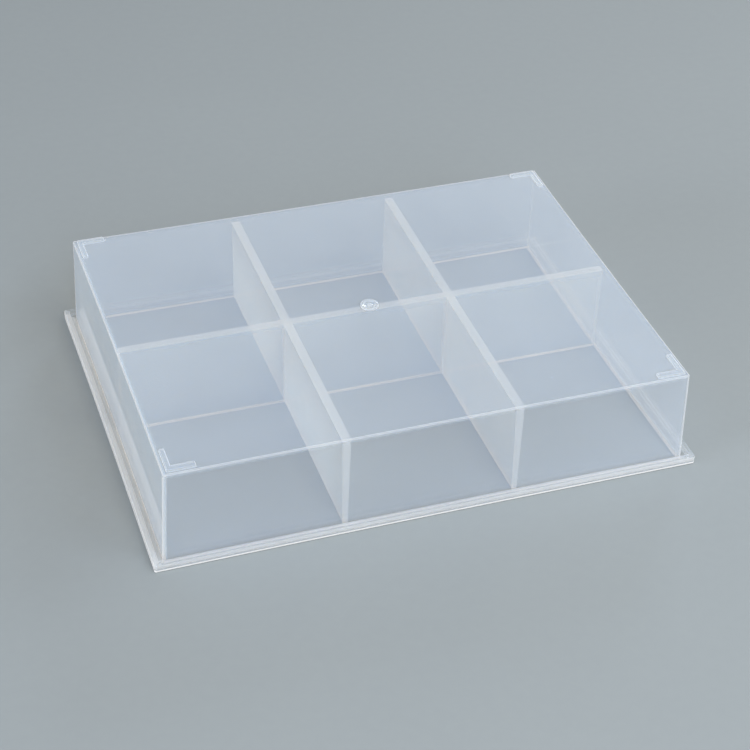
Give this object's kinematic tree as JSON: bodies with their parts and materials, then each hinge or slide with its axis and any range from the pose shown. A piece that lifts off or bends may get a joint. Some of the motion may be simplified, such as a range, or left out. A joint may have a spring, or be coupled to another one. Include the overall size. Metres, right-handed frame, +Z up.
{
  "type": "soap mould tray",
  "caption": "Clear rectangular soap mould tray with a grid of open cavities, thin tapered dividers, a flanged rim with an upright lip, and small L-shaped feet.",
  "frame": {"origin": "middle of the tray's footprint, at the rim plane that it lies on", "axes": "+X along the three cavities of a row; +Y across the two rows, away from the front; +Z up, from the open rim to the closed panel"},
  "size_m": [0.189, 0.1446, 0.0366],
  "materials": {
    "clear_plastic": "clear natural polypropylene, moulded gloss",
    "milky_plastic": "clear natural polypropylene where it is thick, so it looks milkier"
  },
  "bodies": {
    "root": {"base_panel": "clear_plastic", "front_wall": "clear_plastic", "back_wall": "clear_plastic", "left_wall": "clear_plastic", "right_wall": "clear_plastic", "long_divider": "clear_plastic", "cross_divider_left_front": "clear_plastic", "cross_divider_left_back": "clear_plastic", "cross_divider_right_front": "clear_plastic", "cross_divider_right_back": "clear_plastic", "rim_flange_front": "clear_plastic", "rim_flange_back": "clear_plastic", "rim_flange_left": "clear_plastic", "rim_flange_right": "clear_plastic", "rim_lip_front": "milky_plastic", "rim_lip_back": "milky_plastic", "rim_lip_left": "milky_plastic", "rim_lip_right": "milky_plastic", "corner_foot_front_left": "milky_plastic", "corner_foot_front_right": "milky_plastic", "corner_foot_back_left": "milky_plastic", "corner_foot_back_right": "milky_plastic", "gate_mark": "milky_plastic"}
  },
  "joints": []
}
